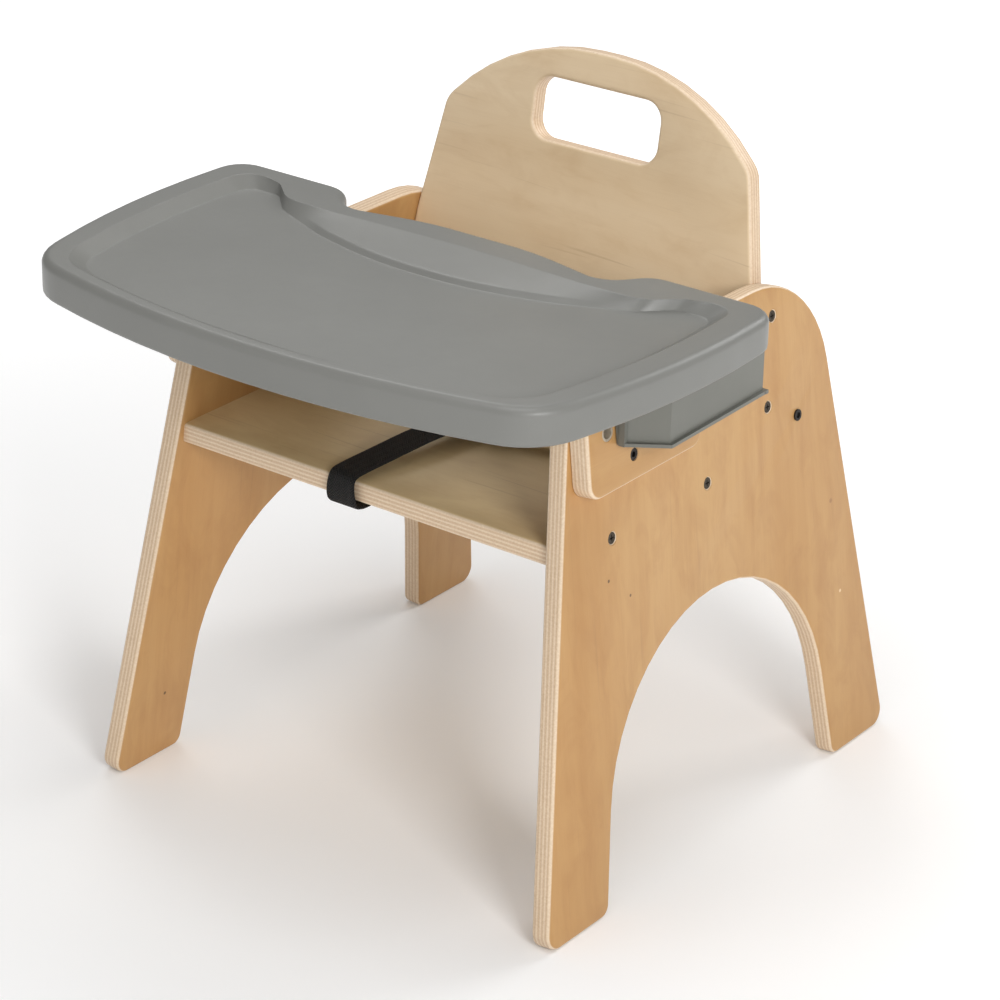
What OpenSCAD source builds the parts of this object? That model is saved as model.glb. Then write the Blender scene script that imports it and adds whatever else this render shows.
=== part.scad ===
// Low feeding chair: splayed plywood side panels, seat and backrest, a moulded tray that slides on
// two plywood rails, sprung latch pins in moulded housings, and a webbing restraint with a buckle.
// +Z up, front of the chair towards -Y, floor at z = 0, origin under the middle of the overall box.

/* [Boards] */
// Thickness of every plywood board
ply_t = 15; // [12:1:16]
// Outward lean of each side panel below its top, in degrees
splay = 6.215; // [4:0.005:7]
// Half the distance between the outer faces of the side panels, at the floor
half_floor_w = 201.47; // [195:0.01:215]
// Middle of the side panels from the origin, along Y
mid_y = 36.75; // [30:0.25:40]
// Half the length of a side panel on the floor
half_foot_l = 212.5; // [205:0.1:220]
// Height of a side panel, along its slope
panel_h = 381.2; // [376:0.1:382]
// Height of the crown of the arch, along the slope
arch_h = 185.2; // [150:0.1:190]

/* [Seat and backrest] */
// Height of the seat's top face
seat_z = 269.6; // [268:0.1:272]
// Seat's front edge along Y
seat_front_y = -125.9; // [-130:0.1:-110]
// Backrest's front face along Y, at the height of the seat
back_y = 104.4; // [100:0.1:108]
// Lean of the backrest, in degrees
back_lean = 9.4; // [6:0.1:11]
// Height of the backrest's crown
crown_z = 504; // [490:1:520]
// Length of the hand hole
hand_hole_w = 107; // [90:1:120]

/* [Tray] */
// Height of the tray's rim
tray_z = 408; // [406:0.5:412]
// Depth of the tray's skirt at the front
skirt_h = 26.4; // [20:0.1:27]
// Wall thickness of the tray
tray_wall = 3.2; // [2.6:0.1:3.6]
// Depth of the tray's basin
basin_depth = 7; // [5:0.5:8]

/* [Latch] */
// How far the tray slides forward
tray_travel = 50; // [20:1:50]
// How far a latch pin pulls back
pin_travel = 4; // [3.5:0.1:4.2]
// Radius of a latch pin
pin_r = 4; // [3:0.1:4.2]

/* [Restraint] */
// Width of the webbing
web_w = 25.4; // [20:0.1:27]
// Thickness of the webbing
web_t = 1.6; // [1.2:0.1:1.8]

/* [Hidden] */
$fn = 48;
eps = 0.01;

up = 1 / cos(splay);                      // in-plane length of one unit of height on a side panel
inner_x0 = half_floor_w - ply_t * up;     // inner faces of the panels, at the floor
foot_r = 12;
arch_foot_r = 9;
arch_foot_x = 141.6;                      // half span of the arch at the floor
arch_lean = 8.5;                          // lean of the arch's straight sides, in degrees
arch_tip = arch_foot_x / tan(arch_lean);  // height at which those sides would meet
arch_r = (arch_tip - arch_h) / (1 / sin(arch_lean) - 1);
arch_off = -1;
front_slope = 0.167;                      // lean of the front and rear edges, per unit of height
rear_slope = 0.189;
front_top_r = 38;
rear_top_r = 91;

seat_rear_y = back_y - ply_t * tan(back_lean);
back_bottom_z = seat_z - ply_t;
back_top_w = 131;                         // half width of the backrest at its shoulders
shoulder_z = 448;
hand_hole_h = 45;
hand_hole_r = 14;
hand_hole_z = 457.5;
slot_x = 121;                             // belt slots in the backrest
slot_w = 16;
slot_h = 34;

rail_y = [-116.3, 10.5];
rail_h = [303.6, 372];
groove_h = 352;                           // centre of the routed groove
groove_d = 3.5;
pin_y = -18;
insert_y = -94.5;
insert_h = 346;
insert_r = 6;
rail_screw_at = [[-67, 322], [-10, 322]];

seat_screw_y = [-76.2, 35.8];
seat_screw_h = (seat_z - ply_t / 2) * up;
back_screw_h = [293.5, 356.7];
back_screw_in = 4.8;                      // depth of the screws behind the backrest's front face
wood_screw_l = 40;

housing_z = 335.4;                         // bottom of a latch housing
plate_z = [385, 388.5];
housing_rear = 43.6;
housing_front = -85.7;
housing_path = [[185, housing_front], [209.8, -68.3], [207.5, housing_rear]];
housing_wall = 3;
flange = [2.6, 2.4];                      // width and thickness of the lip along the bottom
stop_w = [28.5, 30.5];                    // the wall behind a latch spring, in the panel's frame
boss_at = [[195.5, -54], [195.5, -20]];
floor_z = tray_z - basin_depth;           // top of the tray's basin floor
under_z = floor_z - tray_wall - 0.3;      // underside of the basin floor

belt_z = 272;                             // lower edge of the waist belt
buckle_at = [6, 0];
buckle_w = 46;
buckle_h = 38;
anchor_y = 148.2;
anchor_h = 274.8 * up;

// ---- outline helpers ----
function unit(v) = v / norm(v);
function turn(a, b) = a[0] * b[1] - a[1] * b[0];
// Corner p between its neighbours a and b, rounded to radius r
function corner(a, p, b, r) =
    let (u = unit(a - p), v = unit(b - p), half = acos(u * v) / 2)
    r < 0.1 ? [p] :
    let (c = p + unit(u + v) * r / sin(half), s = p + u * r / tan(half) - c, e = p + v * r / tan(half) - c,
         sweep = atan2(turn(s, e), s * e), n = max(5, ceil(abs(sweep) / 7.5)))
    [for (i = [0:n]) let (k = sweep * i / n)
        c + [s[0] * cos(k) - s[1] * sin(k), s[0] * sin(k) + s[1] * cos(k)]];
// Polygon whose corner i has radius q[i][2]
function rounded(q) =
    let (n = len(q), p = [for (c = q) [c[0], c[1]]])
    [for (i = [0:n - 1]) each corner(p[(i + n - 1) % n], p[i], p[(i + 1) % n], q[i][2])];
// The same anticlockwise polygon moved inward by d
function inset(q, d) =
    let (n = len(q), p = [for (c = q) [c[0], c[1]]])
    [for (i = [0:n - 1])
        let (a = unit(p[i] - p[(i + n - 1) % n]), b = unit(p[(i + 1) % n] - p[i]),
             m = [-a[1], a[0]], k = [-b[1], b[0]], s = p[i] + (m + k) * d / (1 + m * k))
        [s[0], s[1], max(0, q[i][2] - (turn(a, b) > 0 ? d : -d))]];
// Right half of a symmetric outline, followed by its mirror image
function symmetric(q) = concat(q, [for (i = [len(q) - 1:-1:0]) [-q[i][0], q[i][1], q[i][2]]]);
// Band of width t along a list of points
function side_of(p, i) =
    let (n = len(p), d = unit(p[min(i + 1, n - 1)] - p[max(i - 1, 0)])) [-d[1], d[0]];
function band(p, t) = concat([for (i = [0:len(p) - 1]) p[i] + side_of(p, i) * t / 2],
                             [for (i = [len(p) - 1:-1:0]) p[i] - side_of(p, i) * t / 2]);
// Smooth curve through hand-placed points
function spline(p, n = 6) =
    [for (i = [0:len(p) - 2], j = [0:n - (i == len(p) - 2 ? 0 : 1)])
        let (t = j / n, a = p[max(i - 1, 0)], b = p[i], c = p[i + 1], d = p[min(i + 2, len(p) - 1)])
        (2 * b + (c - a) * t + (2 * a - 5 * b + 4 * c - d) * t * t
            + (3 * b - a - 3 * c + d) * t * t * t) / 2];

// ---- placing helpers ----
// Frame of the right side panel: x out of its outer face, y to the rear, z up its slope
module on_side() translate([half_floor_w, 0, 0]) rotate([0, -splay, 0]) children();
module left() mirror([1, 0, 0]) children();
// A 2D shape drawn in (y, z), extruded along x from x0 by t
module sheet_yz(x0, t) translate([x0, 0, 0]) rotate([90, 0, 90]) linear_extrude(t) children();
// A cylinder along x in the side frame
module rod_x(x0, x1, r, y, h) translate([x0, y, h]) rotate([0, 90, 0]) cylinder(h = x1 - x0, r = r);
module cone_x(x0, x1, r0, r1, y, h)
    translate([x0, y, h]) rotate([0, 90, 0]) cylinder(h = x1 - x0, r1 = r0, r2 = r1);
module box(lo, hi) translate(lo) cube(hi - lo);

// ---- wood screws ----
// Countersunk wood screw driven into the outer face at (y, h)
module wood_screw(y, h, l = wood_screw_l) difference() {
    union() {
        rod_x(-l + 4, -3.2, 1.9, y, h);
        cone_x(-l, -l + 4 + eps, 0.4, 1.9, y, h);
        cone_x(-3.2 - eps, -1, 1.9, 4, y, h);
        rod_x(-1 - eps, -0.7, 4, y, h);
    }
    for (k = [0:1]) translate([-0.7, y, h]) rotate([90 * k, 0, 0]) cube([2.6, 0.9, 4.6], center = true);
}
module seat_side_screws() color("#8d8b86") on_side() for (y = seat_screw_y) wood_screw(y, seat_screw_h);
module back_side_screws() color("#8d8b86") on_side() for (h = back_screw_h) wood_screw(back_screw_y(h), h);
module screw_hole(y, h, l = wood_screw_l) {
    rod_x(-l - 0.5, 1, 1.95, y, h);
    cone_x(-3.25, -0.95, 1.95, 4.05, y, h);
    rod_x(-1, 1, 4.05, y, h);
}

// ---- boards ----
panel_outline = [
    [-half_foot_l, 0, foot_r], [-arch_foot_x + arch_off, 0, arch_foot_r],
    [arch_off, arch_tip, arch_r], [arch_foot_x + arch_off, 0, arch_foot_r],
    [half_foot_l, 0, foot_r], [half_foot_l - rear_slope * panel_h, panel_h, rear_top_r],
    [-half_foot_l + front_slope * panel_h, panel_h, front_top_r]
];
module side_panel() color("#c8a06e") difference() {
    on_side() difference() {
        translate([0, mid_y, 0]) sheet_yz(-ply_t, ply_t) polygon(rounded(panel_outline));
        for (y = seat_screw_y) screw_hole(y, seat_screw_h);
        for (h = back_screw_h) screw_hole(back_screw_y(h), h);
        for (p = rail_screw_at) rod_x(-ply_t + 3, 1, 2.25, p[0], p[1]);
        rod_x(-ply_t - 1, 1, 3.2, anchor_y, anchor_h);
    }
    box([0, -400, -20], [400, 400, 0]);
}
// Place of a backrest screw along Y, at a height up the panel's slope
function back_screw_y(h) = back_y + (h / up - seat_z) * tan(back_lean) + back_screw_in / cos(back_lean);

module seat_board() color("#cdb083") difference() {
    rotate([90, 0, 0]) translate([0, 0, -seat_rear_y]) linear_extrude(seat_rear_y - seat_front_y)
        polygon([for (s = [[1, seat_z], [1, seat_z - ply_t], [-1, seat_z - ply_t], [-1, seat_z]])
            [s[0] * (inner_x0 - s[1] * tan(splay)), s[1]]]);
    for (m = [0:1]) mirror([m, 0, 0]) on_side() for (y = seat_screw_y) screw_hole(y, seat_screw_h);
    translate([strap_x, strap_screw_y, seat_z - ply_t - 1]) cylinder(h = 12.5, r = 1.95);
}

// Frame of the backrest: x across, y through its thickness from the front face, z up its slope
module on_back() translate([0, back_y, seat_z]) rotate([-back_lean, 0, 0]) children();
function back_v(z) = (z - seat_z) / cos(back_lean);
back_outline = symmetric([
    [162, back_v(back_bottom_z), 0], [144.5, back_v(380), 10], [back_top_w, back_v(shoulder_z), 20],
    [78, back_v(crown_z), 160]
]);
module rounded_slot(w, h, r) polygon(rounded([for (s = [[1, -1], [1, 1], [-1, 1], [-1, -1]])
    [s[0] * w / 2, s[1] * h / 2, r]]));
module backrest() color("#d2b48c") difference() {
    on_back() translate([0, ply_t, 0]) rotate([90, 0, 0]) linear_extrude(ply_t) difference() {
        polygon(rounded(back_outline));
        translate([0, back_v(hand_hole_z)]) rounded_slot(hand_hole_w, hand_hole_h, hand_hole_r);
        for (s = [-1, 1]) translate([s * slot_x, back_v(belt_z + web_w / 2)]) rounded_slot(slot_w, slot_h, 6);
    }
    for (m = [0:1]) mirror([m, 0, 0]) on_side() {
        translate([-ply_t, -100, 0]) cube([100, 500, 700]);
        for (h = back_screw_h) screw_hole(back_screw_y(h), h);
    }
}

// ---- rails ----
module tray_rail() color("#c9a370") on_side() difference() {
    sheet_yz(0, ply_t) polygon(rounded([[rail_y[0], rail_h[0], 12], [rail_y[1], rail_h[0], 10],
        [rail_y[1], rail_h[1], 10], [rail_y[0], rail_h[1], 16]]));
    for (p = rail_screw_at) {
        rod_x(-1, ply_t + 1, 2.25, p[0], p[1]);
        rod_x(ply_t - 4, ply_t + 1, 4.4, p[0], p[1]);
    }
    rod_x(-1, ply_t + 1, insert_r, insert_y, insert_h);
    track(ply_t - groove_d, ply_t + 1, pin_r + 0.3, pin_y - tray_travel - 0.4, pin_y + 0.4, groove_h);
}
// Track with round ends, cut along x
module track(x0, x1, r, y0, y1, h) {
    for (y = [y0, y1]) rod_x(x0, x1, r, y, h);
    box([x0, y0, h - r], [x1, y1, h + r]);
}
module rail_screws() color("#1d1b1a") on_side() for (p = rail_screw_at) difference() {
    union() {
        rod_x(-ply_t + 3.2, ply_t - 4 + eps, 2.2, p[0], p[1]);
        rod_x(ply_t - 4, ply_t - 0.6, 4.3, p[0], p[1]);
    }
    rod_hex(ply_t - 2.6, ply_t, 2.1, p[0], p[1]);
}
module rod_hex(x0, x1, r, y, h)
    translate([x0, y, h]) rotate([0, 90, 0]) cylinder(h = x1 - x0, r = r, $fn = 6);
module rail_insert() color("#b9b4aa") on_side() difference() {
    rod_x(0, ply_t - 0.2, insert_r, insert_y, insert_h);
    rod_x(2, ply_t + 1, insert_r - 1.8, insert_y, insert_h);
}

// ---- tray ----
tray_front_y = -246.3;
tray_outline = symmetric([
    [94, tray_front_y, 725], [212.3, -215.7, 48], [239.8, -95, 600], [232, 22, 23],
    [132, 22, 24], [110.5, -6.7, 22], [45, 8, 200]
]);
basin_outline = symmetric([
    [86, -230.5, 590], [187.5, -203, 34], [208, -97, 560], [200.5, -9, 10], [172, -9, 20], [128, -55.5, 60],
    [40, -60, 300]
]);
skirt_tilt = 0.57;                        // the skirt gets shallower towards the rear, in degrees
module slab(q, z0, z1) translate([0, 0, z0]) linear_extrude(z1 - z0) polygon(rounded(q));
module tray_shell() color("#80817c") difference() {
    union() {
        difference() {
            slab(tray_outline, tray_z - skirt_h - 4, tray_z);
            difference() {
                slab(inset(tray_outline, tray_wall), tray_z - skirt_h - 6, tray_z - tray_wall);
                slab(inset(basin_outline, -tray_wall), under_z, tray_z);
            }
            slab(basin_outline, floor_z, tray_z + 1);
        }
        for (m = [0:1]) mirror([m, 0, 0]) for (p = boss_at)
            translate([p[0], p[1], plate_z[1]]) cylinder(h = under_z - plate_z[1] + 1, r = 5);
    }
    translate([-300, tray_front_y, tray_z - skirt_h]) rotate([skirt_tilt, 0, 0])
        translate([0, -50, -40]) cube([600, 400, 40]);
    for (m = [0:1]) mirror([m, 0, 0]) {
        for (p = boss_at) translate([p[0], p[1], plate_z[1] - 1]) cylinder(h = 12, r = 1.8);
        box([171.6, 10, 380], [209.2, 30, plate_z[1] + 0.02]);
    }
}

// ---- latch housings ----
// Wall of thickness t that follows the housing's path on its inner side
function wall_path(t) = let (p = housing_path, o = wall_offset(p, t)) concat(p, [o[2], o[1], o[0]]);
function wall_offset(p, t) = [for (i = [0:2])
    let (a = unit(p[max(i, 1)] - p[max(i, 1) - 1]), b = unit(p[min(i, 1) + 1] - p[min(i, 1)]),
         m = [-a[1], a[0]], k = [-b[1], b[0]]) p[i] + (m + k) * t / (1 + m * k)];
module latch_housing() color("#7d8180") difference() {
    union() {
        translate([0, 0, housing_z]) linear_extrude(plate_z[1] - housing_z) polygon(wall_path(housing_wall));
        translate([0, 0, housing_z]) linear_extrude(flange[1]) polygon(wall_path(-flange[0]));
        translate([0, 0, plate_z[0]]) linear_extrude(plate_z[1] - plate_z[0])
            polygon(concat(housing_path, [[172, housing_rear], [172, housing_front]]));
        intersection() {
            on_side() union() {
                box([ply_t + 1, housing_front - 1.3, 320], [ply_t + 4, housing_rear, 400]);
                box([1, housing_front - 1.3, rail_h[1] + 0.3], [ply_t + 4, housing_rear, rail_h[1] + 3.6]);
                box([stop_w[0], pin_y - 12, 320], [stop_w[1], pin_y + 12, 400]);
                box([ply_t + 1, housing_rear - housing_wall, 320], [42, housing_rear, 400]);
            }
            box([100, -200, housing_z], [206, 200, plate_z[1]]);
        }
        box([183, housing_front - 2.3, housing_z], [187.5, housing_front + 1.2, plate_z[1]]);
        box([204, housing_rear - 0.1, housing_z], [210.4, housing_rear + 3, housing_z + flange[1]]);
    }
    on_side() rod_x(0, 33, pin_r + 0.05, pin_y, groove_h);
    for (p = boss_at) translate([p[0], p[1], plate_z[0] - 1]) cylinder(h = 6, r = 2.1);
    box([100, -200, plate_z[1]], [300, 200, 450]);
}
module housing_screw(p) translate([p[0], p[1], 0]) difference() {
    union() {
        translate([0, 0, plate_z[0]]) cylinder(h = 13, r = 1.75);
        translate([0, 0, plate_z[0] - 2.2]) cylinder(h = 2.2, r = 3.6);
    }
    for (a = [0, 90]) rotate([0, 0, a]) translate([0, 0, plate_z[0] - 2.2])
        cube([4, 0.9, 2.4], center = true);
}
module housing_side_screws() color("#9a9c9e") for (p = boss_at) housing_screw(p);
module latch_pin() color("#b7b9bb") on_side() {
    rod_x(ply_t - 2.2, 32, pin_r - 0.5, pin_y, groove_h);
    rod_x(ply_t - 2.2, 19.4, pin_r, pin_y, groove_h);
    cone_x(ply_t - 3.2, ply_t - 2.2 + eps, pin_r - 1, pin_r, pin_y, groove_h);
    rod_x(32 - eps, 33 + eps, pin_r - 0.9, pin_y, groove_h);
    rod_x(33, 34, pin_r - 0.5, pin_y, groove_h);
}
module latch_paddle() color("#2b2d2e") on_side() difference() {
    sheet_yz(19.4, 2.5) polygon(rounded([[pin_y - 9, 340, 4], [pin_y + 9, 340, 4], [pin_y + 9, 361, 5],
        [pin_y - 9, 361, 5]]));
    rod_x(18, 24, pin_r - 0.5, pin_y, groove_h);
}
module latch_spring() color("#c4c6c8") on_side() difference() {
    rod_x(21.9, stop_w[0], pin_r + 1.4, pin_y, groove_h);
    rod_x(21, 30, pin_r + 0.5, pin_y, groove_h);
}
module latch_clip() color("#8f9193") on_side() difference() {
    rod_x(32, 33, pin_r + 1.2, pin_y, groove_h);
    rod_x(31, 34, pin_r - 0.9, pin_y, groove_h);
}

// ---- restraint ----
strap_veer = -9.8;
strap_x = -13;
strap_screw_y = seat_front_y + 62;
washer_z = seat_z - ply_t - 1.85;         // top of the washer, under the strap
crotch_profile = spline([[72, -15.95], [56, -15.95], [44, -16.6], [26, -19.8], [8, -21.2], [-1.5, -18.6],
    [-4.2, -12], [-3.9, -3.4], [-0.6, 3], [9, 5.2], [30, 7.5], [70, 11.5], [100, 12], [124, 11.4]], 4);
module crotch_strap() color("#17171a") difference() {
    translate([strap_x, seat_front_y, seat_z]) {
        strap_run([for (p = crotch_profile) if (p[1] < 1) p], 0);
        strap_run([for (p = crotch_profile) if (p[1] > -1) p], strap_veer);
    }
    translate([strap_x, strap_screw_y, washer_z - 2]) cylinder(h = 6, r = 2.2);
}
module strap_run(p, veer) rotate([0, 0, veer]) rotate([90, 0, 90]) translate([0, 0, -web_w / 2])
    linear_extrude(web_w) polygon(band(p, web_t));
waist_path = spline([[36, 0], [56, 0.4], [84, 12], [106, 44], [117, 84], [121, 112], [127, 132], [140, 141],
    [149, 141]], 5);
module waist_strap() color("#17171a") translate([0, 0, belt_z])
    linear_extrude(web_w) polygon(band(waist_path, web_t));
module crotch_strap_screw() color("#9a9c9e") translate([strap_x, strap_screw_y, washer_z - 1]) {
    translate([0, 0, -eps]) cylinder(h = 13, r = 1.9);
    translate([0, 0, -2.2]) cylinder(h = 2.2, r = 4);
}
module crotch_strap_washer() color("#a8aaac") translate([strap_x, strap_screw_y, washer_z - 1]) difference() {
    cylinder(h = 1, r = 8);
    translate([0, 0, -1]) cylinder(h = 3, r = 2.1);
}
module buckle_outline() polygon(rounded([[buckle_w / 2 - 6, 0, 5], [buckle_w / 2, 14, 10],
    [buckle_w / 2, buckle_h, 9], [-buckle_w / 2, buckle_h, 9], [-buckle_w / 2, 14, 10],
    [-buckle_w / 2 + 6, 0, 5]]));
module buckle_part(y0, y1) translate([buckle_at[0], y1, belt_z - 1.5]) rotate([90, 0, 0])
    linear_extrude(y1 - y0) buckle_outline();
module strap_opening() box([buckle_at[0] - 15, -10, belt_z + 6.5], [buckle_at[0] + 15, 10, belt_z + 11.5]);
module tongue_opening() box([-60, -2.2, belt_z + 12.5], [60, 2.2, belt_z + 25.5]);
button_c = belt_z + 25;
tongue_end = 38;
module buckle_front() color("#202124") difference() {
    buckle_part(-6.5, 0);
    strap_opening();
    tongue_opening();
    translate([buckle_at[0], 1, button_c]) rotate([90, 0, 0]) cylinder(h = 12, r = 7.6);
}
module buckle_back() color("#26272a") difference() {
    buckle_part(0, 5);
    strap_opening();
    tongue_opening();
}
module buckle_button() color("#9c1f22") translate([buckle_at[0], -2.6, button_c]) rotate([90, 0, 0])
    cylinder(h = 4.4, r = 7.3);
module buckle_tongue(s) color("#2a2b2e") mirror([s < 0 ? 1 : 0, 0, 0]) translate([0, 0, belt_z])
difference() {
    union() {
        box([s * buckle_at[0] + 9, -1.8, 13], [s * buckle_at[0] + buckle_w / 2 + 1, 1.8, 25]);
        box([s * buckle_at[0] + buckle_w / 2 + 0.3, -2.4, -1], [tongue_end, 2.4, web_w + 1]);
    }
    box([tongue_end - 2.5, -1.2, -0.4], [60, 1.2, web_w + 0.4]);
}
module belt_anchor() color("#55585a") on_side() difference() {
    sheet_yz(-ply_t - 2, 2) polygon(rounded([
        [anchor_y - 14, anchor_h - 12, 6], [anchor_y + 12, anchor_h - 12, 6],
        [anchor_y + 12, anchor_h + 30, 6], [anchor_y - 14, anchor_h + 30, 6]]));
    rod_x(-ply_t - 3, 1, 3.2, anchor_y, anchor_h);
    box([-ply_t - 3, anchor_y - 10, anchor_h - 3], [-ply_t + 1, anchor_y - 5.5, anchor_h + 25]);
}
module belt_anchor_bolt() color("#221f1d") on_side() difference() {
    union() {
        rod_x(-ply_t - 9, eps, 3, anchor_y, anchor_h);
        rod_x(0, 1.4, 4.2, anchor_y, anchor_h);
    }
    rod_hex(0.2, 3, 2.4, anchor_y, anchor_h);
}
module belt_anchor_nut() color("#77797b") on_side() difference() {
    rod_hex(-ply_t - 7, -ply_t - 2, 5.8, anchor_y, anchor_h);
    rod_x(-ply_t - 8, -ply_t - 1, 3.05, anchor_y, anchor_h);
}
module both() { children(); left() children(); }

left() side_panel();  // left_side_panel
side_panel();  // right_side_panel
seat_board();
backrest();
left() tray_rail();  // left_tray_rail
tray_rail();  // right_tray_rail
left() rail_screws();  // left_rail_screws
rail_screws();  // right_rail_screws
both() rail_insert();  // rail_inserts
both() seat_side_screws();  // seat_screws
both() back_side_screws();  // backrest_screws
tray_shell();
left() latch_housing();  // left_latch_housing
latch_housing();  // right_latch_housing
both() housing_side_screws();  // housing_screws
left() latch_pin();  // left_latch_pin
latch_pin();  // right_latch_pin
left() latch_paddle();  // left_latch_paddle
latch_paddle();  // right_latch_paddle
left() latch_spring();  // left_latch_spring
latch_spring();  // right_latch_spring
left() latch_clip();  // left_latch_clip
latch_clip();  // right_latch_clip
crotch_strap();
left() waist_strap();  // left_waist_strap
waist_strap();  // right_waist_strap
crotch_strap_screw();
crotch_strap_washer();
buckle_front();
buckle_back();
buckle_button();
buckle_tongue(-1);  // left_buckle_tongue
buckle_tongue(1);  // right_buckle_tongue
left() belt_anchor();  // left_belt_anchor
belt_anchor();  // right_belt_anchor
both() belt_anchor_bolt();  // belt_anchor_bolts
both() belt_anchor_nut();  // belt_anchor_nuts
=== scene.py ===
import math

import bmesh
import bpy
from mathutils import Matrix, Vector, geometry


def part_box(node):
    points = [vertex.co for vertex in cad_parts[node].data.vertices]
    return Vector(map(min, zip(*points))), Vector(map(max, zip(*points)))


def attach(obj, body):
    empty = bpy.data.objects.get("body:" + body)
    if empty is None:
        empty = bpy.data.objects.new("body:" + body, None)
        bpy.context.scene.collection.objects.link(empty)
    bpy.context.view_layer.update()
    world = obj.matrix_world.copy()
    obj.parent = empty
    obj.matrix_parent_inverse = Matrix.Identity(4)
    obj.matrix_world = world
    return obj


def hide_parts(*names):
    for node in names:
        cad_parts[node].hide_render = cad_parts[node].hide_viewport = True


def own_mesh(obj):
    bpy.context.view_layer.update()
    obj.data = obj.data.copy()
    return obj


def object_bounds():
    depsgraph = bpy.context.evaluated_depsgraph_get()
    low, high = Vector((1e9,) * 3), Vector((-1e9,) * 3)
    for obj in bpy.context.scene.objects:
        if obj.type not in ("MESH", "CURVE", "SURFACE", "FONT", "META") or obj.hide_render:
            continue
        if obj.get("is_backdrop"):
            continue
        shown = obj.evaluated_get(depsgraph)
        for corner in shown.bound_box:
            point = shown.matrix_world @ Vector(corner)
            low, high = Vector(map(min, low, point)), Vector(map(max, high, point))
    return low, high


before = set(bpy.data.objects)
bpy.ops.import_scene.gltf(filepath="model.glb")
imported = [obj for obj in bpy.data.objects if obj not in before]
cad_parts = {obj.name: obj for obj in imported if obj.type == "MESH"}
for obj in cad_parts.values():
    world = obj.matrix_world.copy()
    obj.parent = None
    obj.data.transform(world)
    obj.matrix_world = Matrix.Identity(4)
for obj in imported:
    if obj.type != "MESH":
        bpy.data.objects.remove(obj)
cad_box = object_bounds()
scene = bpy.context.scene
MM = 0.001

# ---------------------------------------------------------------- frames of the boards
SPLAY = math.radians(6.215)
HALF_FLOOR = 201.47 * MM
PLY = 15 * MM
LEAN = math.radians(9.4)
BACK_Y = 104.4 * MM
SEAT_Z = 269.6 * MM


def axes(u, v, w, origin):
    """Matrix from board coordinates (u, v in the face, w out of the show face) to the world."""
    m = Matrix((u, v, w)).transposed().to_4x4()
    m.translation = origin
    return m


def side_axes(sign):
    u = Vector((0, 1, 0))
    v = Vector((-sign * math.sin(SPLAY), 0, math.cos(SPLAY)))
    w = Vector((sign * math.cos(SPLAY), 0, math.sin(SPLAY)))
    return axes(u, v, w, Vector((sign * HALF_FLOOR, 0, 0)))


BACK = axes(Vector((1, 0, 0)), Vector((0, math.sin(LEAN), math.cos(LEAN))),
            Vector((0, -math.cos(LEAN), math.sin(LEAN))), Vector((0, BACK_Y, SEAT_Z)))


# ---------------------------------------------------------------- mesh helpers
def new_object(name, mesh, body, node, material):
    """A visible piece that rides on a body and stands in for a CAD node."""
    o = bpy.data.objects.new(name, mesh)
    scene.collection.objects.link(o)
    mesh.materials.clear()
    mesh.materials.append(material)
    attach(o, body)
    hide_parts(node)
    return o


def from_bmesh(bm, name):
    me = bpy.data.meshes.new(name)
    bm.normal_update()
    bm.to_mesh(me)
    bm.free()
    return me


def skin(bm, rings):
    """Walls between consecutive closed rings of vertices."""
    n = len(rings[0])
    for a, b in zip(rings, rings[1:]):
        for i in range(n):
            j = (i + 1) % n
            bm.faces.new((a[i], a[j], b[j], b[i]))


def solid(rings, name):
    """A closed mesh through rings of points, with a face over each end."""
    bm = bmesh.new()
    vs = [[bm.verts.new(p) for p in ring] for ring in rings]
    skin(bm, vs)
    bm.faces.new(vs[0][::-1])
    bm.faces.new(vs[-1])
    bmesh.ops.recalc_face_normals(bm, faces=bm.faces)
    return from_bmesh(bm, name)


def smooth_by_angle(me, degrees):
    for p in me.polygons:
        p.use_smooth = True
    me.set_sharp_from_angle(angle=math.radians(degrees))


def board_position(me, m):
    """Stores each vertex's place in the board's own frame, which the wood grain follows."""
    inv = m.inverted()
    a = me.attributes.new("board", "FLOAT_VECTOR", "POINT")
    flat = []
    for v in me.vertices:
        flat.extend(inv @ v.co)
    a.data.foreach_set("vector", flat)


def face_loops(node, m, w, tol=2e-5):
    """Closed outlines of a CAD node's flat face at height w in board coordinates, longest first."""
    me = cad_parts[node].data
    inv = m.inverted()
    pts, ids, key = [], [], {}
    for v in me.vertices:
        p = inv @ v.co
        k = (round(p.x * 1e5), round(p.y * 1e5), round(p.z * 1e5))
        if k not in key:
            key[k] = len(pts)
            pts.append(p)
        ids.append(key[k])
    edges = {}
    for poly in me.polygons:
        vs = [ids[i] for i in poly.vertices]
        if all(abs(pts[i].z - w) < tol for i in vs):
            for a, b in zip(vs, vs[1:] + vs[:1]):
                if (b, a) in edges:
                    del edges[(b, a)]
                else:
                    edges[(a, b)] = True
    nxt = {a: b for a, b in edges}
    loops = []
    while nxt:
        start, cur = next(iter(nxt.items()))
        loop = [start]
        del nxt[start]
        while cur != start and cur in nxt:
            loop.append(cur)
            cur = nxt.pop(cur)
        loops.append([(pts[i].x, pts[i].y) for i in loop])
    length = lambda q: sum(math.dist(a, b) for a, b in zip(q, q[1:] + q[:1]))
    return sorted(loops, key=length, reverse=True)


def simplify(loop, tol=0.00002):
    """Drops points that lie on a straight run."""
    out = []
    n = len(loop)
    for i in range(n):
        a, b, c = Vector(loop[i - 1]), Vector(loop[i]), Vector(loop[(i + 1) % n])
        d = c - a
        if d.length < 1e-9 or abs((b - a).cross(d)) / d.length > tol:
            out.append(loop[i])
    return out


def loop_area(q):
    return 0.5 * sum(a[0] * b[1] - b[0] * a[1] for a, b in zip(q, q[1:] + q[:1]))


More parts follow.
